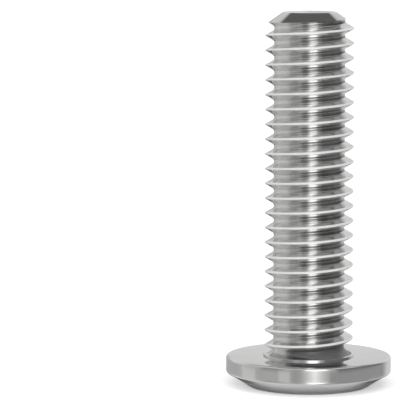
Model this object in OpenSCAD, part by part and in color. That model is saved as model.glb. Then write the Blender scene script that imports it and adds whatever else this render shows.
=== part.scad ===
// Flat-head screw with a bevelled head, a hex socket and a right-hand metric thread.
// It stands on the flat outer face of its head: that face is at z = 0 and the tip is up.

/* [Thread] */
// Diameter over the crests of the thread
thread_diameter = 6; // [5:0.1:8]
// Axial distance from one crest to the next
thread_pitch = 1; // [0.75:0.05:1.25]
// Length of the shank from the bearing face of the head to the tip
shank_length = 23.3; // [10:0.1:40]
// Diameter of the flat end of the shank
tip_diameter = 3.6; // [2:0.1:4.4]
// Slope of the lead-in chamfer, measured from the end face
tip_angle = 35; // [20:1:60]

/* [Neck] */
// Radius of the fillet between the neck and the bearing face
neck_radius = 0.65; // [0.2:0.05:1]
// Height of the last full crest above the bearing face
last_crest_height = 0.72; // [0.5:0.02:3]
// Turn over which the last crest fades into the neck, in degrees
runout_turn = 150; // [60:10:300]

/* [Head] */
// Diameter of the upright rim
head_diameter = 11.2; // [9.5:0.1:16]
// Height of the upright rim
rim_height = 1.1; // [0.7:0.05:2.5]
// Height of the bevel between the outer face and the rim
bevel_height = 0.95; // [0.5:0.05:2]
// Diameter of the flat outer face
face_diameter = 8.1; // [6:0.1:9]
// Radius of the edge between the bearing face and the rim
seat_edge_radius = 0.12; // [0.04:0.02:0.3]
// Radius of the edge between the rim and the bevel
rim_edge_radius = 0.2; // [0.04:0.02:0.4]
// Radius of the edge between the bevel and the outer face
face_edge_radius = 0.3; // [0.05:0.05:0.6]

/* [Socket] */
// Width of the hex socket across its flats
socket_width = 4; // [2.5:0.1:4.4]
// Depth of the socket below the outer face
socket_depth = 1.9; // [1:0.1:2.2]
// Diameter of the countersink at the mouth of the socket
mouth_diameter = 4.7; // [4:0.05:5.4]
// Slope of the countersink, measured from the outer face
mouth_angle = 30; // [20:5:60]

/* [Hidden] */

// Bright stainless steel
steel = [0.78, 0.78, 0.77];

// Straight pieces in one turn of the thread, in a small round edge and in the neck fillet
turn_steps = 24;
edge_steps = 4;
neck_steps = 8;
// Facets of a full turned surface
turned_facets = 96;
// How far a cutter runs past the surface that it cuts
overrun = 1;

// Metric thread form: a 60 degree triangle with its crest cut off and its root filled
flank_angle = 30;
sharp_height = thread_pitch / 2 / tan(flank_angle);
crest_cut = sharp_height / 8;
thread_depth = sharp_height * 17 / 24;
// The ridge is bedded this deep in the core, which keeps neighbouring turns apart
ridge_bed = sharp_height / 12;

crest_r = thread_diameter / 2;
root_r = crest_r - thread_depth;
tip_r = tip_diameter / 2;
rim_r = head_diameter / 2;
mouth_r = mouth_diameter / 2;
head_height = bevel_height + rim_height;
tip_z = head_height + shank_length;
last_crest_z = head_height + last_crest_height;

function unit(v) = v / norm(v);

// Points of an arc between two angles
function arc(centre, radius, from, to, steps) = [
    for (i = [0:steps])
        let (a = from + (to - from) * i / steps)
        centre + radius * [cos(a), sin(a)]
];

// Points that round a profile's corner, which lies between two neighbours
function rounded(before, corner, after, radius) =
    let (
        to_before = unit(before - corner),
        to_after = unit(after - corner),
        half = acos(to_before * to_after) / 2,
        centre = corner + unit(to_before + to_after) * radius / sin(half),
        p = corner + to_before * radius / tan(half) - centre,
        q = corner + to_after * radius / tan(half) - centre,
        from = atan2(p.y, p.x),
        sweep = atan2(p.x * q.y - p.y * q.x, p * q)
    )
    arc(centre, radius, from, from + sweep, edge_steps);

// Head, neck fillet and bare core, turned in one piece, with the core left long at the tip
module turned_blank() {
    axis_low = [0, 0];
    face_edge = [face_diameter / 2, 0];
    bevel_edge = [rim_r, bevel_height];
    seat_edge = [rim_r, head_height];
    axis_seat = [0, head_height];
    neck_centre = [root_r + neck_radius, head_height + neck_radius];
    core_end = tip_z + overrun;
    rotate_extrude($fn = turned_facets) polygon(concat(
        [axis_low],
        rounded(axis_low, face_edge, bevel_edge, face_edge_radius),
        rounded(face_edge, bevel_edge, seat_edge, rim_edge_radius),
        rounded(bevel_edge, seat_edge, axis_seat, seat_edge_radius),
        arc(neck_centre, neck_radius, 270, 180, neck_steps),
        [[root_r, core_end], [0, core_end]]
    ));
}

// Helical ridge with a sharp apex: it fades in from the core at the neck and runs past the tip
module thread_ridge() {
    base_r = root_r - ridge_bed;
    full_rise = crest_r + crest_cut - base_r;
    fade_steps = ceil(turn_steps * runout_turn / 360);
    full_steps = ceil(turn_steps * (tip_z + thread_pitch / 2 - last_crest_z) / thread_pitch);
    count = fade_steps + full_steps;
    least_share = 0.05;
    function share(i) = i < fade_steps ? max(least_share, i / fade_steps) : 1;
    function section(i) =
        let (
            turns = (i - fade_steps) / turn_steps,
            outward = [cos(180 + 360 * turns), sin(180 + 360 * turns), 0],
            middle = [0, 0, last_crest_z + thread_pitch * turns],
            rise = full_rise * share(i),
            half_width = [0, 0, rise * tan(flank_angle)]
        )
        [
            middle + outward * base_r - half_width,
            middle + outward * (base_r + rise),
            middle + outward * base_r + half_width
        ];
    sides = [
        for (i = [0:count - 1], k = [0:2])
            let (a = 3 * i + k, b = 3 * i + (k + 1) % 3)
            each [[a, b, b + 3], [a, b + 3, a + 3]]
    ];
    last = 3 * count;
    polyhedron(
        points = [for (i = [0:count]) each section(i)],
        faces = concat(sides, [[2, 1, 0], [last, last + 1, last + 2]])
    );
}

// Outer limit of the finished shank: the crests' cylinder, the lead-in chamfer and the flat end
module turned_limit() {
    neck_z = head_height + min(neck_radius, last_crest_height) / 2;
    chamfer_z = tip_z - (crest_r - tip_r) * tan(tip_angle);
    outside_r = rim_r + overrun;
    rotate_extrude($fn = turned_facets) polygon([
        [0, -overrun],
        [outside_r, -overrun],
        [outside_r, neck_z],
        [crest_r, neck_z],
        [crest_r, chamfer_z],
        [tip_r, tip_z],
        [0, tip_z]
    ]);
}

// Hex hole with a flat floor and a shallow countersink at its mouth
module socket() {
    corner_d = socket_width / cos(30);
    translate([0, 0, -overrun])
        cylinder(d = corner_d, h = socket_depth + overrun, $fn = 6);
    rotate_extrude($fn = turned_facets) polygon([
        [0, -overrun],
        [mouth_r + overrun / tan(mouth_angle), -overrun],
        [0, mouth_r * tan(mouth_angle)]
    ]);
}

module screw() {
    color(steel) difference() {
        intersection() {
            union() {
                turned_blank();
                thread_ridge();
            }
            turned_limit();
        }
        socket();
    }
}

screw();
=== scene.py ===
"""A flat head hex socket screw, standing on its head in a plain white studio."""

import math

import bpy
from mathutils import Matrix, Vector


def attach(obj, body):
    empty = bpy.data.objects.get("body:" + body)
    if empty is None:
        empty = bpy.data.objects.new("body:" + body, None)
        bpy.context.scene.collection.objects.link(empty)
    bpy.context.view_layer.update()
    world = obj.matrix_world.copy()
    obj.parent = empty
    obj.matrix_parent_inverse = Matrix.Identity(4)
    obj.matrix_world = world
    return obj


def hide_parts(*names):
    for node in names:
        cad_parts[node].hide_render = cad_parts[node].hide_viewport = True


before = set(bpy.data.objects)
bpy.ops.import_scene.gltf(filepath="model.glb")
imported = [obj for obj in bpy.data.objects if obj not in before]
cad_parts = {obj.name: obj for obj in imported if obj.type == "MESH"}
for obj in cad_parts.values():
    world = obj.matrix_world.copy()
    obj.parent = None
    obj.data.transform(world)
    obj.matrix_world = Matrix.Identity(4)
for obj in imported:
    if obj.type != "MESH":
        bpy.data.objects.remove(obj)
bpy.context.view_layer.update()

# Sizes of the screw, the same as in the part's source
MM = 0.001
THREAD_DIAMETER = 6.0 * MM
THREAD_PITCH = 1.0 * MM
SHANK_LENGTH = 23.3 * MM
TIP_DIAMETER = 3.6 * MM
TIP_SLOPE = math.radians(35)
NECK_RADIUS = 0.65 * MM
LAST_CREST_HEIGHT = 0.72 * MM
RUNOUT_TURNS = 150 / 360
HEAD_DIAMETER = 11.2 * MM
RIM_HEIGHT = 1.1 * MM
BEVEL_HEIGHT = 0.95 * MM
FACE_DIAMETER = 8.1 * MM
RIM_EDGE = 0.2 * MM
FACE_EDGE = 0.3 * MM
SOCKET_WIDTH = 4.0 * MM
SOCKET_DEPTH = 1.9 * MM
MOUTH_DIAMETER = 4.7 * MM
MOUTH_SLOPE = math.radians(30)

# Small edges and a low collar that only the close look needs
CREST_ROUND = 0.05 * MM
SEAT_EDGE = 0.18 * MM
COLLAR_HEIGHT = 0.12 * MM
COLLAR_EDGE = 0.03 * MM
TIP_EDGE = 0.07 * MM
SOCKET_CORNER = 0.12 * MM
SOCKET_FLOOR_EDGE = 0.1 * MM

# Metric thread form, with crest and root rounded until they meet the flanks
FLANK = math.radians(30)
SHARP_HEIGHT = THREAD_PITCH / 2 / math.tan(FLANK)
CREST_R = THREAD_DIAMETER / 2
ROOT_R = CREST_R - SHARP_HEIGHT * 17 / 24
ROOT_ROUND = ROOT_R + SHARP_HEIGHT - CREST_R - CREST_ROUND

RIM_R = HEAD_DIAMETER / 2
HEAD_HEIGHT = BEVEL_HEIGHT + RIM_HEIGHT
TIP_Z = HEAD_HEIGHT + SHANK_LENGTH
LAST_CREST_Z = HEAD_HEIGHT + LAST_CREST_HEIGHT

# Facets of one turn of the thread, of a turned surface, of a round edge and of the neck fillet
THREAD_STEPS = 96
TURNED_STEPS = 160
EDGE_STEPS = 6
NECK_STEPS = 16
# Points closer than this are one point
WELD = 0.00005 * MM
# The head's core stays this far inside the thread's root, so that the two share no surface
CORE_SINK = 0.015 * MM
# Where round the axis the last full crest ends, in turns, which is on the left
CREST_END_TURN = 0.5
# Turns that the rod starts below that end
SPARE_TURNS = 2 + CREST_END_TURN
# Edges flatter than this look smooth
SMOOTH_ANGLE = math.radians(30)


def only(piece):
    """Makes a piece the one that is selected and active."""
    bpy.ops.object.select_all(action="DESELECT")
    piece.select_set(True)
    bpy.context.view_layer.objects.active = piece


def rounded(before, corner, after, radius):
    """Points that round a profile's corner, which lies between two neighbours."""
    corner = Vector(corner)
    to_before = (Vector(before) - corner).normalized()
    to_after = (Vector(after) - corner).normalized()
    half = to_before.angle(to_after) / 2
    centre = corner + (to_before + to_after).normalized() * radius / math.sin(half)
    first = corner + to_before * radius / math.tan(half) - centre
    last = corner + to_after * radius / math.tan(half) - centre
    start = math.degrees(math.atan2(first.y, first.x))
    sweep = math.degrees(math.atan2(first.x * last.y - first.y * last.x, first.dot(last)))
    return arc(centre, radius, start, start + sweep, EDGE_STEPS)


def arc(centre, radius, start, end, steps):
    """Points of an arc between two angles in degrees."""
    points = []
    for i in range(steps + 1):
        angle = math.radians(start + (end - start) * i / steps)
        points.append(Vector(centre) + radius * Vector((math.cos(angle), math.sin(angle))))
    return points


def profile(name, points):
    """A chain of edges through points given as radius and height, drawn vertex by vertex."""
    bpy.ops.object.select_all(action="DESELECT")
    bpy.ops.mesh.primitive_plane_add(size=MM)
    piece = bpy.context.object
    piece.name = name
    piece.data.name = name
    bpy.ops.object.mode_set(mode="EDIT")
    bpy.ops.mesh.select_mode(type="VERT")
    bpy.ops.mesh.select_all(action="SELECT")
    bpy.ops.mesh.merge(type="CENTER")
    bpy.ops.transform.translate(value=(points[0][0], 0, points[0][1]))
    for here, there in zip(points, points[1:]):
        step = (there[0] - here[0], 0, there[1] - here[1])
        bpy.ops.mesh.extrude_vertices_move(TRANSFORM_OT_translate={"value": step})
    bpy.ops.object.mode_set(mode="OBJECT")
    return piece


def weld(piece):
    """Merges doubles and turns the faces outwards."""
    only(piece)
    bpy.ops.object.mode_set(mode="EDIT")
    bpy.ops.mesh.select_all(action="SELECT")
    bpy.ops.mesh.remove_doubles(threshold=WELD)
    bpy.ops.mesh.normals_make_consistent(inside=False)
    bpy.ops.object.mode_set(mode="OBJECT")


def turned(name, points):
    """A solid of revolution from a profile that starts and ends on the axis."""
    piece = profile(name, points)
    bpy.ops.object.mode_set(mode="EDIT")
    bpy.ops.mesh.select_all(action="SELECT")
    bpy.ops.mesh.spin(steps=TURNED_STEPS, angle=math.tau, center=(0, 0, 0), axis=(0, 0, 1))
    bpy.ops.object.mode_set(mode="OBJECT")
    weld(piece)
    return piece


def combine(piece, tool, operation):
    """Applies a boolean and removes its tool."""
    only(piece)
    change = piece.modifiers.new("combine", "BOOLEAN")
    change.operation = operation
    change.solver = "EXACT"
    change.object = tool
    bpy.ops.object.modifier_apply(modifier=change.name)
    bpy.data.objects.remove(tool)


def thread_section():
    """One pitch of the thread, from root to root, with the crest in the middle at height 0."""
    turn = 90 - math.degrees(FLANK)
    crest = arc((CREST_R - CREST_ROUND, 0), CREST_ROUND, 0, turn, EDGE_STEPS)
    root = arc((ROOT_R + ROOT_ROUND, THREAD_PITCH / 2), ROOT_ROUND, 180 + turn, 180, EDGE_STEPS)
    flank_middle = (crest[-1] + root[0]) / 2
    upper = [*crest, flank_middle, *root]
    lower = [Vector((point.x, -point.y)) for point in reversed(upper[1:])]
    return lower + upper


def thread_rod():
    """The threaded shank as a closed rod, left long at both ends."""
    low_z = HEAD_HEIGHT / 2
    high_z = TIP_Z + THREAD_PITCH / 2
    turns = math.ceil((high_z - LAST_CREST_Z) / THREAD_PITCH + SPARE_TURNS) + 1
    start_z = LAST_CREST_Z - SPARE_TURNS * THREAD_PITCH
    section = [(point.x, point.y + start_z) for point in thread_section()]
    rod = profile("screw_visual", section)
    sweep = rod.modifiers.new("sweep", "SCREW")
    sweep.axis = "Z"
    sweep.angle = math.tau
    sweep.screw_offset = THREAD_PITCH
    sweep.iterations = turns
    sweep.steps = THREAD_STEPS
    sweep.render_steps = THREAD_STEPS
    bpy.ops.object.modifier_apply(modifier=sweep.name)
    weld(rod)

    # The ridge fades into the core over the run-out at the neck
    for vertex in rod.data.vertices:
        radius = math.hypot(vertex.co.x, vertex.co.y)
        turn_share = math.atan2(vertex.co.y, vertex.co.x) / math.tau - CREST_END_TURN
        height_turns = (vertex.co.z - LAST_CREST_Z) / THREAD_PITCH
        turn = turn_share + round(height_turns - turn_share)
        share = max(0.0, min(1.0, turn / RUNOUT_TURNS + 1))
        new_radius = ROOT_R + (radius - ROOT_R) * share
        vertex.co.x *= new_radius / radius
        vertex.co.y *= new_radius / radius

    # Both ends are trimmed square and closed
    bpy.ops.object.mode_set(mode="EDIT")
    for height, lower_goes in ((low_z, True), (high_z, False)):
        bpy.ops.mesh.select_all(action="SELECT")
        bpy.ops.mesh.bisect(
            plane_co=(0, 0, height),
            plane_no=(0, 0, 1),
            use_fill=True,
            threshold=WELD,
            clear_inner=lower_goes,
            clear_outer=not lower_goes,
        )
    bpy.ops.object.mode_set(mode="OBJECT")
    weld(rod)
    return rod


def tip_cutter():
    """What the lead-in chamfer and the flat end take off the rod."""
    tip_r = TIP_DIAMETER / 2
    outside_r = RIM_R
    slope_foot = (outside_r, TIP_Z - (outside_r - tip_r) * math.tan(TIP_SLOPE))
    overrun = 4 * THREAD_PITCH
    top_z = TIP_Z + overrun
    end_edge = rounded((0, TIP_Z), (tip_r, TIP_Z), slope_foot, TIP_EDGE)
    return turned("tip_cutter", [(0, TIP_Z), *end_edge, slope_foot, (outside_r, top_z), (0, top_z)])


def head():
    """Outer face, bevel, rim, bearing face, collar and neck fillet, turned in one piece."""
    core_r = ROOT_R - CORE_SINK
    face_edge = (FACE_DIAMETER / 2, 0)
    bevel_edge = (RIM_R, BEVEL_HEIGHT)
    seat_edge = (RIM_R, HEAD_HEIGHT)
    collar_z = HEAD_HEIGHT + COLLAR_HEIGHT
    neck_centre = (core_r + NECK_RADIUS, collar_z + NECK_RADIUS)
    collar_land = 2 * COLLAR_EDGE
    collar_r = neck_centre[0] + collar_land
    collar_foot = (collar_r, HEAD_HEIGHT)
    top_z = neck_centre[1] + CORE_SINK
    points = [(0, 0)]
    points += rounded((0, 0), face_edge, bevel_edge, FACE_EDGE)
    points += rounded(face_edge, bevel_edge, seat_edge, RIM_EDGE)
    points += rounded(bevel_edge, seat_edge, (0, HEAD_HEIGHT), SEAT_EDGE)
    points += [collar_foot]
    points += rounded(collar_foot, (collar_r, collar_z), (0, collar_z), COLLAR_EDGE)
    points += arc(neck_centre, NECK_RADIUS, 270, 180, NECK_STEPS)
    points += [(core_r, top_z), (0, top_z)]
    return turned("head", points)


def socket_cutter():
    """A hex plug with eased corners and a shallow cone for the countersink at the mouth."""
    overrun = 1.0 * MM
    corner_r = SOCKET_WIDTH / 2 / math.cos(math.pi / 6)
    bpy.ops.object.select_all(action="DESELECT")
    bpy.ops.mesh.primitive_circle_add(vertices=6, radius=corner_r, fill_type="NGON")
    plug = bpy.context.object
    plug.name = "socket_cutter"
    bpy.ops.object.mode_set(mode="EDIT")
    bpy.ops.mesh.select_all(action="SELECT")
    bpy.ops.transform.rotate(value=math.pi / 6, orient_axis="Z", center_override=(0, 0, 0))
    bpy.ops.transform.translate(value=(0, 0, -overrun))
    tall = (0, 0, SOCKET_DEPTH + overrun)
    bpy.ops.mesh.extrude_region_move(TRANSFORM_OT_translate={"value": tall})
    bpy.ops.mesh.select_all(action="SELECT")
    bpy.ops.mesh.normals_make_consistent(inside=False)
    bpy.ops.object.mode_set(mode="OBJECT")
    ease(plug, SOCKET_CORNER, lambda low, high: high - low > SOCKET_DEPTH)
    ease(plug, SOCKET_FLOOR_EDGE, lambda low, high: low > SOCKET_DEPTH - WELD)
    mouth_r = MOUTH_DIAMETER / 2
    base_z = -overrun / 2
    cone = turned("mouth_cutter", [
        (0, base_z),
        (mouth_r - base_z / math.tan(MOUTH_SLOPE), base_z),
        (0, mouth_r * math.tan(MOUTH_SLOPE)),
    ])
    combine(plug, cone, "UNION")
    return plug


def ease(piece, radius, picks):
    """Rounds the edges whose lowest and highest points are picked."""
    only(piece)
    bpy.ops.object.mode_set(mode="EDIT")
    bpy.ops.mesh.select_mode(type="EDGE")
    bpy.ops.mesh.select_all(action="DESELECT")
    bpy.ops.object.mode_set(mode="OBJECT")
    for edge in piece.data.edges:
        heights = [piece.data.vertices[i].co.z for i in edge.vertices]
        edge.select = picks(min(heights), max(heights))
    bpy.ops.object.mode_set(mode="EDIT")
    bpy.ops.mesh.bevel(offset=radius, offset_type="OFFSET", segments=EDGE_STEPS // 2)
    bpy.ops.object.mode_set(mode="OBJECT")


def make_screw():
    """The finished screw as one closed mesh."""
    screw = thread_rod()
    combine(screw, tip_cutter(), "DIFFERENCE")
    combine(screw, head(), "UNION")
    combine(screw, socket_cutter(), "DIFFERENCE")
    weld(screw)
    bpy.ops.object.shade_smooth_by_angle(angle=SMOOTH_ANGLE)
    even = screw.modifiers.new("even", "WEIGHTED_NORMAL")
    even.keep_sharp = True
    bpy.ops.object.modifier_apply(modifier=even.name)
    return screw


def feed(tree, node, values):
    """Fills a node's inputs in order, from numbers or from other nodes' sockets."""
    for socket, value in zip(node.inputs, values):
        if isinstance(value, bpy.types.NodeSocket):
            tree.links.new(value, socket)
        else:
            socket.default_value = value


def calc(tree, operation, *values):
    """The result of a Math node."""
    node = tree.nodes.new("ShaderNodeMath")
    node.operation = operation
    feed(tree, node, values)
    return node.outputs[0]


def build_up(tree, base, *parts):
    """A value made from a base and from other values, each with its amount."""
    for value, amount in parts:
        base = calc(tree, "MULTIPLY_ADD", value, amount, base)
    return base


def soft_step(tree, value, low, high):
    """0 at low and beyond, 1 at high and beyond, and a smooth change between them."""
    node = tree.nodes.new("ShaderNodeMapRange")
    node.interpolation_type = "SMOOTHSTEP"
    feed(tree, node, (value, low, high))
    return node.outputs[0]


def cloud(tree, place, scale, detail):
    """Noise between 0 and 1 over a place."""
    node = tree.nodes.new("ShaderNodeTexNoise")
    node.inputs["Scale"].default_value = scale
    node.inputs["Detail"].default_value = detail
    tree.links.new(place, node.inputs["Vector"])
    return node.outputs["Fac"]


def together(tree, x, y, z):
    """A vector from three values."""
    node = tree.nodes.new("ShaderNodeCombineXYZ")
    feed(tree, node, (x, y, z))
    return node.outputs[0]


def blend(tree, share, first, second):
    """A colour between two colours."""
    node = tree.nodes.new("ShaderNodeMix")
    node.data_type = "RGBA"
    for name, value in (("Factor_Float", share), ("A_Color", first), ("B_Color", second)):
        socket = next(s for s in node.inputs if s.identifier == name)
        if isinstance(value, bpy.types.NodeSocket):
            tree.links.new(value, socket)
        else:
            socket.default_value = value
    return next(s for s in node.outputs if s.identifier == "Result_Color")


def shader_group(name, inputs, output):
    """An empty node group with a place and values coming in and one value going out."""
    tree = bpy.data.node_groups.new(name, "ShaderNodeTree")
    tree.interface.new_socket("Position", in_out="INPUT", socket_type="NodeSocketVector")
    for label in inputs:
        tree.interface.new_socket(label, in_out="INPUT", socket_type="NodeSocketFloat")
    tree.interface.new_socket(output, in_out="OUTPUT", socket_type="NodeSocketFloat")
    return tree, tree.nodes.new("NodeGroupInput").outputs, tree.nodes.new("NodeGroupOutput").inputs


def effect(tree, group, position, *values):
    """The value that a group gives at a position."""
    node = tree.nodes.new("ShaderNodeGroup")
    node.node_tree = group
    feed(tree, node, (position, *values))
    return node.outputs[0]


def axis_place(tree, position):
    """Distance from the screw's axis, height and angle round the axis."""
    split = tree.nodes.new("ShaderNodeSeparateXYZ")
    tree.links.new(position, split.inputs[0])
    x, y, height = split.outputs
    squares = calc(tree, "ADD", calc(tree, "MULTIPLY", x, x), calc(tree, "MULTIPLY", y, y))
    return calc(tree, "SQRT", squares), height, calc(tree, "ARCTAN2", y, x)


def make_turning_marks():
    """Fine rings left by the lathe: they follow radius and height and hardly change round the axis."""
    tree, given, result = shader_group("turning_marks", ["Spacing"], "Mark")
    radius, height = axis_place(tree, given["Position"])[:2]
    drift = cloud(tree, given["Position"], scale=300, detail=1)
    across = calc(tree, "DIVIDE", radius, given["Spacing"])
    along = calc(tree, "DIVIDE", height, given["Spacing"])
    mark = cloud(tree, together(tree, across, along, drift), scale=1, detail=2)
    tree.links.new(mark, result["Mark"])
    return tree


def make_rolling_streaks():
    """Streaks that run along the thread's helix, as the rolling dies leave them."""
    tree, given, result = shader_group("rolling_streaks", ["Pitch", "Spacing"], "Streak")
    radius, height, angle = axis_place(tree, given["Position"])
    turns = calc(tree, "DIVIDE", height, given["Pitch"])
    phase = calc(tree, "SUBTRACT", calc(tree, "MULTIPLY", turns, math.tau), angle)
    drift = cloud(tree, given["Position"], scale=400, detail=1)
    depth = calc(tree, "ADD", calc(tree, "DIVIDE", radius, given["Spacing"]), drift)
    round_helix = together(tree, calc(tree, "SINE", phase), calc(tree, "COSINE", phase), depth)
    streak = cloud(tree, round_helix, scale=1.5, detail=2)
    tree.links.new(streak, result["Streak"])
    return tree


def make_smudges():
    """Soft patches of handling and oil film."""
    tree, given, result = shader_group("smudges", ["Size"], "Smudge")
    scaled = tree.nodes.new("ShaderNodeVectorMath")
    scaled.operation = "DIVIDE"
    feed(tree, scaled, (given["Position"], together(tree, given["Size"], given["Size"], given["Size"])))
    patches = cloud(tree, scaled.outputs[0], scale=1, detail=3)
    tree.links.new(soft_step(tree, patches, low=0.42, high=0.68), result["Smudge"])
    return tree


def make_worn_edge_and_highlight():
    """Burnish with a painted highlight along a round edge, which is given by its radius and height."""
    least_wear = 0.4
    uneven_wear = 0.8
    tree, given, result = shader_group("worn_edge_and_highlight", ["Edge radius", "Edge height", "Reach"], "Wear and highlight")
    radius, height = axis_place(tree, given["Position"])[:2]
    out = calc(tree, "SUBTRACT", radius, given["Edge radius"])
    up = calc(tree, "SUBTRACT", height, given["Edge height"])
    squares = calc(tree, "ADD", calc(tree, "MULTIPLY", out, out), calc(tree, "MULTIPLY", up, up))
    near = soft_step(tree, calc(tree, "SQRT", squares), given["Reach"], 0)
    patches = cloud(tree, given["Position"], scale=900, detail=2)
    patchy = build_up(tree, least_wear, (patches, uneven_wear))
    tree.links.new(calc(tree, "MULTIPLY", near, patchy), result["Wear and highlight"])
    return tree


def make_neck_painted_shade():
    """Painted shade on the neck, dark and matt: from its foot up to the last crest, except on the left.
    """
    soft = 0.04 * MM
    crest_middle = LAST_CREST_Z + THREAD_PITCH * 0.13
    crest_rise = THREAD_PITCH / 5
    foot_middle = HEAD_HEIGHT + NECK_RADIUS / 3
    foot_drop = NECK_RADIUS / 3
    tree, given, result = shader_group("neck_painted_shade", [], "Dark")
    radius, height, angle = axis_place(tree, given["Position"])
    rightwards = calc(tree, "COSINE", angle)
    crest = build_up(tree, crest_middle, (rightwards, crest_rise))
    foot = build_up(tree, foot_middle, (rightwards, -foot_drop))
    over_foot = soft_step(tree, calc(tree, "SUBTRACT", height, foot), -soft, 0)
    under_crest = soft_step(tree, calc(tree, "SUBTRACT", crest, height), soft, 2 * soft)
    sunk = soft_step(tree, radius, CREST_R - soft, CREST_R - 3 * soft)
    open_side = soft_step(tree, rightwards, low=-0.75, high=-0.45)
    dark = calc(tree, "MULTIPLY", calc(tree, "MULTIPLY", over_foot, under_crest), sunk)
    tree.links.new(calc(tree, "MULTIPLY", dark, open_side), result["Dark"])
    return tree


TURNING_MARKS = make_turning_marks()
ROLLING_STREAKS = make_rolling_streaks()
SMUDGES = make_smudges()
WORN_EDGE_AND_HIGHLIGHT = make_worn_edge_and_highlight()
NECK_PAINTED_SHADE = make_neck_painted_shade()

# Colours of the steel: clean and dulled, paler on worn edges as wear and painted highlight, a painted
# highlight on the crest, and painted shade
TURNED_BRIGHT = (0.72, 0.72, 0.714, 1)
TURNED_DULL = (0.64, 0.64, 0.633, 1)
ROLLED_BRIGHT = (0.82, 0.82, 0.813, 1)
ROLLED_DULL = (0.72, 0.72, 0.712, 1)
# Wear and painted highlight: the round edges of the head and the tip are coloured paler
BURNISH_AND_HIGHLIGHT_STEEL = (0.93, 0.93, 0.925, 1)
# Painted highlight: a pale, matt line along the thread's crest
CREST_HIGHLIGHT_STEEL = (0.8, 0.8, 0.796, 1)
# Painted shade: the neck's hollow is coloured dark
NECK_PAINTED_SHADE_STEEL = (0.17, 0.17, 0.17, 1)
# Painted shade: the thread's root is coloured dark on the right side
ROOT_PAINTED_SHADE = (0.17, 0.17, 0.17, 1)

# Sizes of the marks, and how high their relief is
RING_SPACING = 0.05 * MM
RING_RELIEF = 0.0001 * MM
STREAK_SPACING = 0.12 * MM
STREAK_RELIEF = 0.00005 * MM
WAVES_PER_METRE = 900
WAVE_RELIEF = 0.014 * MM
DRAGS_PER_RADIAN = 40
DRAG_RELIEF = 0.0003 * MM
TURNED_SMUDGE = 2.5 * MM
ROLLED_SMUDGE = 1.5 * MM
PRESSED_SMUDGE = 1.0 * MM
WEAR_REACH = 0.2 * MM

# How much each mark dulls the colour
RING_DULLS = 0.3
STREAK_DULLS = 0.4
DRAG_DULLS = 0.5
SMUDGE_DULLS = 0.4
SOCKET_SMUDGE_DULLS = 0.5

# Roughness of the clean steel, and what each mark adds to it
POLISHED = 0.045
PRESSED = 0.08
RING_ROUGHENS = 0.02
STREAK_ROUGHENS = 0.02
ROOT_ROUGHENS = 0.06
DRAG_ROUGHENS = 0.06
SMUDGE_ROUGHENS = 0.03
SOCKET_SMUDGE_ROUGHENS = 0.04
MATT_ROUGHENS = 0.25
# Share of the mirror that a matt place loses
MATT_LOSS = 0.85

# Painted shade in the root: its reach in shares of the thread's depth, and its least strength
ROOT_SHADE_EDGE = 0.075
ROOT_SHADE_WHOLE = 0.02
ROOT_SHADE_LEAST = 0.8
# Cosines of the angle round the axis between which the painted root shade comes in, from the left
ROOT_SHADE_LEFT = -0.52
ROOT_SHADE_RIGHT = -0.15
# Painted highlight line on the crest: how far it leans to the upper flank, and its soft edge
CREST_HIGHLIGHT_LEAN = 0.25 * MM
CREST_HIGHLIGHT_SOFT = 0.02 * MM


def steel(name):
    """A bare metal, ready for its colour, roughness and bump, with the place on the piece."""
    material = bpy.data.materials.new(name)
    material.use_nodes = True
    tree = material.node_tree
    skin = tree.nodes["Principled BSDF"]
    skin.inputs["Metallic"].default_value = 1
    place = tree.nodes.new("ShaderNodeTexCoord").outputs["Object"]
    return material, tree, skin, place


def relief(tree, height, distance, below=None):
    """The normal of a surface with a small relief, which may lie over a coarser one."""
    node = tree.nodes.new("ShaderNodeBump")
    node.inputs["Strength"].default_value = 1
    node.inputs["Distance"].default_value = distance
    tree.links.new(height, node.inputs["Height"])
    if below:
        tree.links.new(below, node.inputs["Normal"])
    return node.outputs[0]


def turned_steel():
    """Polished turned faces: the head outside its socket, the end face and the lead-in chamfer."""
    material, tree, skin, place = steel("turned_steel")
    mark = effect(tree, TURNING_MARKS, place, RING_SPACING)
    smudge = effect(tree, SMUDGES, place, TURNED_SMUDGE)
    neck_shade = effect(tree, NECK_PAINTED_SHADE, place)
    # Round edges that get wear and a painted highlight
    edges = (
        (RIM_R, HEAD_HEIGHT),
        (RIM_R, BEVEL_HEIGHT),
        (FACE_DIAMETER / 2, 0),
        (TIP_DIAMETER / 2, TIP_Z),
    )
    wear_and_highlight = 0
    for edge_radius, edge_height in edges:
        near = effect(tree, WORN_EDGE_AND_HIGHLIGHT, place, edge_radius, edge_height, WEAR_REACH)
        wear_and_highlight = calc(tree, "MAXIMUM", near, wear_and_highlight)
    dulled = build_up(tree, 0, (smudge, SMUDGE_DULLS), (mark, RING_DULLS))
    colour = blend(tree, dulled, TURNED_BRIGHT, TURNED_DULL)
    # Wear and painted highlight: paler colour along the round edges
    colour = blend(tree, wear_and_highlight, colour, BURNISH_AND_HIGHLIGHT_STEEL)
    # Painted shade: the neck's hollow is coloured dark and made matt
    colour = blend(tree, neck_shade, colour, NECK_PAINTED_SHADE_STEEL)
    roughness = build_up(tree, POLISHED, (mark, RING_ROUGHENS), (smudge, SMUDGE_ROUGHENS))
    roughness = build_up(tree, roughness, (neck_shade, MATT_ROUGHENS))
    rings = calc(tree, "MULTIPLY", mark, calc(tree, "SUBTRACT", 1, neck_shade))
    tree.links.new(colour, skin.inputs["Base Color"])
    tree.links.new(roughness, skin.inputs["Roughness"])
    tree.links.new(build_up(tree, 1, (neck_shade, -MATT_LOSS)), skin.inputs["Metallic"])
    tree.links.new(relief(tree, rings, RING_RELIEF), skin.inputs["Normal"])
    return material


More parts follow.
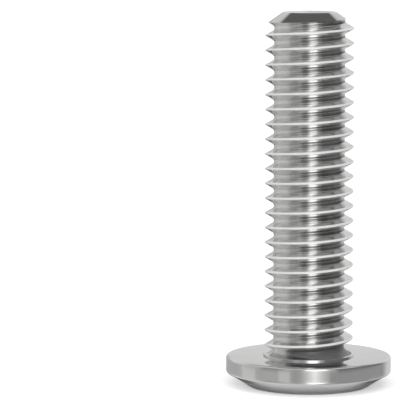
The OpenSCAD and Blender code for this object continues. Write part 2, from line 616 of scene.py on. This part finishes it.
def rolled_steel():
    """The rolled thread: streaks along the helix, painted shade in the root and in the neck's hollow,
    and a painted highlight along the crests.
    """
    material, tree, skin, place = steel("rolled_steel")
    streak = effect(tree, ROLLING_STREAKS, place, THREAD_PITCH, STREAK_SPACING)
    smudge = effect(tree, SMUDGES, place, ROLLED_SMUDGE)
    neck_shade = effect(tree, NECK_PAINTED_SHADE, place)
    radius, height, angle = axis_place(tree, place)
    depth = CREST_R - ROOT_R
    root = soft_step(tree, radius, ROOT_R + ROOT_SHADE_EDGE * depth, ROOT_R + ROOT_SHADE_WHOLE * depth)
    root_shade_side = soft_step(tree, calc(tree, "COSINE", angle), ROOT_SHADE_LEFT, ROOT_SHADE_RIGHT)
    root_shade = calc(tree, "MULTIPLY", root, build_up(tree, ROOT_SHADE_LEAST, (smudge, 1 - ROOT_SHADE_LEAST)))
    root_shade = calc(tree, "MULTIPLY", root_shade, root_shade_side)
    # The sine is above 0 on a crest's upper flank and below 0 on its lower one
    crest_phase = math.tau * CREST_END_TURN - math.tau * LAST_CREST_Z / THREAD_PITCH
    phase = calc(tree, "MULTIPLY_ADD", height, math.tau / THREAD_PITCH, crest_phase)
    above = calc(tree, "SINE", calc(tree, "SUBTRACT", phase, angle))
    # Mask of the painted highlight along the crests
    crest = soft_step(tree, build_up(tree, radius, (above, CREST_HIGHLIGHT_LEAN)), CREST_R, CREST_R + CREST_HIGHLIGHT_SOFT)
    dulled = build_up(tree, 0, (smudge, SMUDGE_DULLS), (streak, STREAK_DULLS))
    colour = blend(tree, dulled, ROLLED_BRIGHT, ROLLED_DULL)
    # Painted shade in the root, on the right side only, uneven with the smudges
    colour = blend(tree, root_shade, colour, ROOT_PAINTED_SHADE)
    # Painted shade: the neck's hollow is coloured dark and made matt
    colour = blend(tree, neck_shade, colour, NECK_PAINTED_SHADE_STEEL)
    # Painted highlight: the crests are coloured pale and made matt
    colour = blend(tree, crest, colour, CREST_HIGHLIGHT_STEEL)
    # The painted neck shade and the painted crest highlight are matt: they scatter light instead of
    # mirroring it
    matt = calc(tree, "MAXIMUM", neck_shade, crest)
    roughness = build_up(tree, POLISHED, (streak, STREAK_ROUGHENS), (root, ROOT_ROUGHENS))
    roughness = build_up(tree, roughness, (matt, MATT_ROUGHENS))
    waves = relief(tree, cloud(tree, place, scale=WAVES_PER_METRE, detail=1), WAVE_RELIEF)
    tree.links.new(colour, skin.inputs["Base Color"])
    tree.links.new(roughness, skin.inputs["Roughness"])
    tree.links.new(build_up(tree, 1, (matt, -MATT_LOSS)), skin.inputs["Metallic"])
    tree.links.new(relief(tree, streak, STREAK_RELIEF, waves), skin.inputs["Normal"])
    return material


def pressed_steel():
    """The socket: pressed walls with fine upright drag marks."""
    material, tree, skin, place = steel("pressed_steel")
    height, angle = axis_place(tree, place)[1:]
    around = calc(tree, "MULTIPLY", angle, DRAGS_PER_RADIAN)
    along = calc(tree, "DIVIDE", height, MM)
    drag = cloud(tree, together(tree, around, along, 0), scale=1, detail=2)
    smudge = effect(tree, SMUDGES, place, PRESSED_SMUDGE)
    dulled = build_up(tree, 0, (smudge, SOCKET_SMUDGE_DULLS), (drag, DRAG_DULLS))
    colour = blend(tree, dulled, TURNED_BRIGHT, TURNED_DULL)
    roughness = build_up(tree, PRESSED, (smudge, SOCKET_SMUDGE_ROUGHENS), (drag, DRAG_ROUGHENS))
    tree.links.new(colour, skin.inputs["Base Color"])
    tree.links.new(roughness, skin.inputs["Roughness"])
    tree.links.new(relief(tree, drag, DRAG_RELIEF), skin.inputs["Normal"])
    return material


# Room for rounding when faces are picked by their place
PICK_SLACK = 1.01
CHAMFER_SLACK = 0.02 * MM
FACE_SLACK = 0.001 * MM


def dress(piece, material, picks):
    """Gives a material to the faces that are picked by radius and height."""
    only(piece)
    bpy.ops.object.material_slot_add()
    piece.material_slots[piece.active_material_index].material = material
    bpy.ops.object.mode_set(mode="EDIT")
    bpy.ops.mesh.select_mode(type="FACE")
    bpy.ops.mesh.select_all(action="DESELECT")
    bpy.ops.object.mode_set(mode="OBJECT")
    for face in piece.data.polygons:
        radius = math.hypot(face.center.x, face.center.y)
        face.select = picks(radius, face.center.z)
    bpy.ops.object.mode_set(mode="EDIT")
    bpy.ops.object.material_slot_assign()
    bpy.ops.object.mode_set(mode="OBJECT")


def is_threaded(radius, height):
    """True on the thread, from halfway up the neck fillet to the lead-in chamfer."""
    over_neck = height > HEAD_HEIGHT + NECK_RADIUS / 2 and radius < CREST_R * PICK_SLACK
    chamfer_z = TIP_Z - (radius - TIP_DIAMETER / 2) * math.tan(TIP_SLOPE)
    return over_neck and height <= chamfer_z - CHAMFER_SLACK


def is_socket(radius, height):
    """True inside the hex socket and on its mouth."""
    return radius < MOUTH_DIAMETER / 2 and FACE_SLACK < height < SOCKET_DEPTH * PICK_SLACK


screw = make_screw()
dress(screw, turned_steel(), lambda radius, height: True)
dress(screw, rolled_steel(), is_threaded)
dress(screw, pressed_steel(), is_socket)

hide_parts("screw")
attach(screw, "root")

# Floor: pale and matt, topped up to white for the camera, so that only the shadow shows on it
WHITE = (1, 1, 1, 1)
FLOOR_SIZE = 4
FLOOR_PALE = (0.8, 0.8, 0.8, 1)
FLOOR_ROUGHNESS = 0.9
FLOOR_TOP_UP = 0.42
FOOT_NEAR = 4.2 * MM
FOOT_FAR = 5.0 * MM
bpy.ops.object.select_all(action="DESELECT")
bpy.ops.mesh.primitive_plane_add(size=FLOOR_SIZE)
floor = bpy.context.object
floor.name = "floor"
pale = bpy.data.materials.new("pale_floor")
pale.use_nodes = True
tree = pale.node_tree
ground = tree.nodes["Principled BSDF"]
ground.inputs["Base Color"].default_value = FLOOR_PALE
ground.inputs["Roughness"].default_value = FLOOR_ROUGHNESS
ground.inputs["Specular IOR Level"].default_value = 0
ground.inputs["Emission Color"].default_value = WHITE
seen_by = tree.nodes.new("ShaderNodeLightPath").outputs
top_up = calc(tree, "MULTIPLY", seen_by["Is Camera Ray"], FLOOR_TOP_UP)
tree.links.new(top_up, ground.inputs["Emission Strength"])
# The steel mirrors the floor near its foot, and further out the studio below the horizon
out = axis_place(tree, tree.nodes.new("ShaderNodeTexCoord").outputs["Object"])[0]
far = calc(tree, "MULTIPLY", soft_step(tree, out, FOOT_NEAR, FOOT_FAR), seen_by["Is Glossy Ray"])
clear = tree.nodes.new("ShaderNodeBsdfTransparent")
mixed = tree.nodes.new("ShaderNodeMixShader")
feed(tree, mixed, (far, ground.outputs[0], clear.outputs[0]))
tree.links.new(mixed.outputs[0], tree.nodes["Material Output"].inputs["Surface"])
floor.data.materials.append(pale)

# One soft lamp high in front
LAMP_SPREAD = math.radians(70)
LAMP_LEVEL = 1.7
LAMP_TILT = math.radians(35)
lamp_data = bpy.data.lights.new("lamp", "SUN")
lamp_data.angle = LAMP_SPREAD
lamp_data.energy = LAMP_LEVEL
lamp = bpy.data.objects.new("lamp", lamp_data)
bpy.context.scene.collection.objects.link(lamp)
lamp.rotation_euler = (LAMP_TILT, 0, 0)
# The steel doesn't mirror the lamp
lamp.visible_glossy = False

# Studio round the screw, which lights it and is mirrored in it
WALL_LEVEL = 0.5
# Panels, one over another: azimuth right of the camera, half width, lowest, highest, softness, light
PANELS = {
    "floor": (0, 180, -90, -46, 8, 0.55),
    "floor_behind": (180, 60, -90, -43, 9, 0.7),
    "left_shade": (-20, 6, -60, 60, 9, 0.4),
    "left_wall": (-56, 16, -34, 46, 8, 0.33),
    "far_left_wall": (-128, 22, -40, 45, 10, 0.66),
    "rim_left": (-90, 60, -15, -4, 2.5, 0.5),
    "far_left_light": (-97, 18, -30, 40, 12, 0.57),
    "far_left_band": (-95, 13, -15, -5, 3, 0.7),
    "left_band": (-36, 8, -15, -4, 2.5, 0.64),
    "right_wall": (81, 43, -40, 50, 6, 0.2),
    "right_floor": (78, 45, -90, -31, 3, 0.37),
    "right_band": (76, 48, -18, -4, 3, 0.37),
    "far_right_band": (108, 14, -30, -12, 4, 0.42),
    "backdrop_left": (-160, 25, -16, 38, 6, 0.5),
    "backdrop_left_high": (-160, 25, 16, 38, 4, 0.72),
    "back_shade": (180, 20, -36, -14, 6, 0.13),
    "front_arc": (-5, 115, 50, 66, 5, 0.7),
    "dark_top": (0, 180, 70, 100, 4, 0.22),
    "dark_back": (180, 38, 42, 78, 3, 0.13),
    "key_light": (7, 4, -62, 36, 18, 1.45),
    "key_light_middle": (10, 12, 4, 38, 9, 2.5),
    "key_light_foot": (10, 10, -36, -19, 8, 2),
}
# Backdrop that the steel mirrors from behind on the right, below the white that the camera sees
BACKDROP = (160, 25, -16, 38, 6)
BACKDROP_LEVEL = 0.72


def make_soft_panel():
    """Share of a panel in what is seen at an azimuth and an elevation."""
    tree, given, result = shader_group(
        "soft_panel", ["Centre", "Half width", "Lowest", "Highest", "Softness"], "Share"
    )
    split = tree.nodes.new("ShaderNodeSeparateXYZ")
    tree.links.new(given["Position"], split.inputs[0])
    azimuth, elevation = split.outputs[:2]
    soft = given["Softness"]
    away = calc(tree, "WRAP", calc(tree, "SUBTRACT", azimuth, given["Centre"]), 180, -180)
    inside = calc(tree, "SUBTRACT", given["Half width"], calc(tree, "ABSOLUTE", away))
    above = calc(tree, "SUBTRACT", elevation, given["Lowest"])
    below = calc(tree, "SUBTRACT", given["Highest"], elevation)
    least = calc(tree, "MINIMUM", inside, calc(tree, "MINIMUM", above, below))
    tree.links.new(soft_step(tree, least, calc(tree, "MULTIPLY", soft, -1), soft), result["Share"])
    return tree


def light_studio():
    """The world: white for the camera, the studio for the steel and the floor."""
    world = bpy.data.worlds.new("studio")
    bpy.context.scene.world = world
    world.use_nodes = True
    tree = world.node_tree
    soft_panel = make_soft_panel()
    direction = tree.nodes.new("ShaderNodeTexCoord").outputs["Generated"]
    split = tree.nodes.new("ShaderNodeSeparateXYZ")
    tree.links.new(direction, split.inputs[0])
    x, y, z = split.outputs
    azimuth = calc(tree, "DEGREES", calc(tree, "ARCTAN2", x, calc(tree, "MULTIPLY", y, -1)))
    elevation = calc(tree, "DEGREES", calc(tree, "ARCSINE", z))
    angles = together(tree, azimuth, elevation, 0)
    level = WALL_LEVEL

    def lay(share, panel_level):
        """The level once a further panel lies over the others."""
        change = calc(tree, "MULTIPLY", share, calc(tree, "SUBTRACT", panel_level, level))
        return calc(tree, "ADD", level, change)

    for centre, half_width, lowest, highest, softness, panel_level in PANELS.values():
        share = effect(tree, soft_panel, angles, centre, half_width, lowest, highest, softness)
        level = lay(share, panel_level)
    path = tree.nodes.new("ShaderNodeLightPath").outputs
    behind = effect(tree, soft_panel, angles, *BACKDROP)
    level = lay(calc(tree, "MULTIPLY", behind, path["Is Glossy Ray"]), BACKDROP_LEVEL)
    in_view = calc(tree, "MAXIMUM", path["Is Camera Ray"], path["Is Transmission Ray"])
    level = lay(in_view, 1)
    tree.links.new(level, tree.nodes["Background"].inputs["Strength"])
    tree.nodes["Background"].inputs["Color"].default_value = WHITE


light_studio()

# Camera at the photo's viewing angle
IMAGE_SIDE = 400
FOCAL_PIXELS = 2923.41
SENSOR_WIDTH = 36
NEAREST_SEEN = 0.01
CAMERA_PLACE = (-7.3766 * MM, -196.4854 * MM, 34.2669 * MM)
CAMERA_TILT = math.radians(83.71804)
camera_data = bpy.data.cameras.new("camera")
camera_data.sensor_width = SENSOR_WIDTH
camera_data.lens = SENSOR_WIDTH * FOCAL_PIXELS / IMAGE_SIDE
camera_data.clip_start = NEAREST_SEEN
camera = bpy.data.objects.new("camera", camera_data)
bpy.context.scene.collection.objects.link(camera)
camera.location = CAMERA_PLACE
camera.rotation_euler = (CAMERA_TILT, 0, 0)
bpy.context.scene.camera = camera

bpy.context.scene.view_settings.view_transform = "Standard"
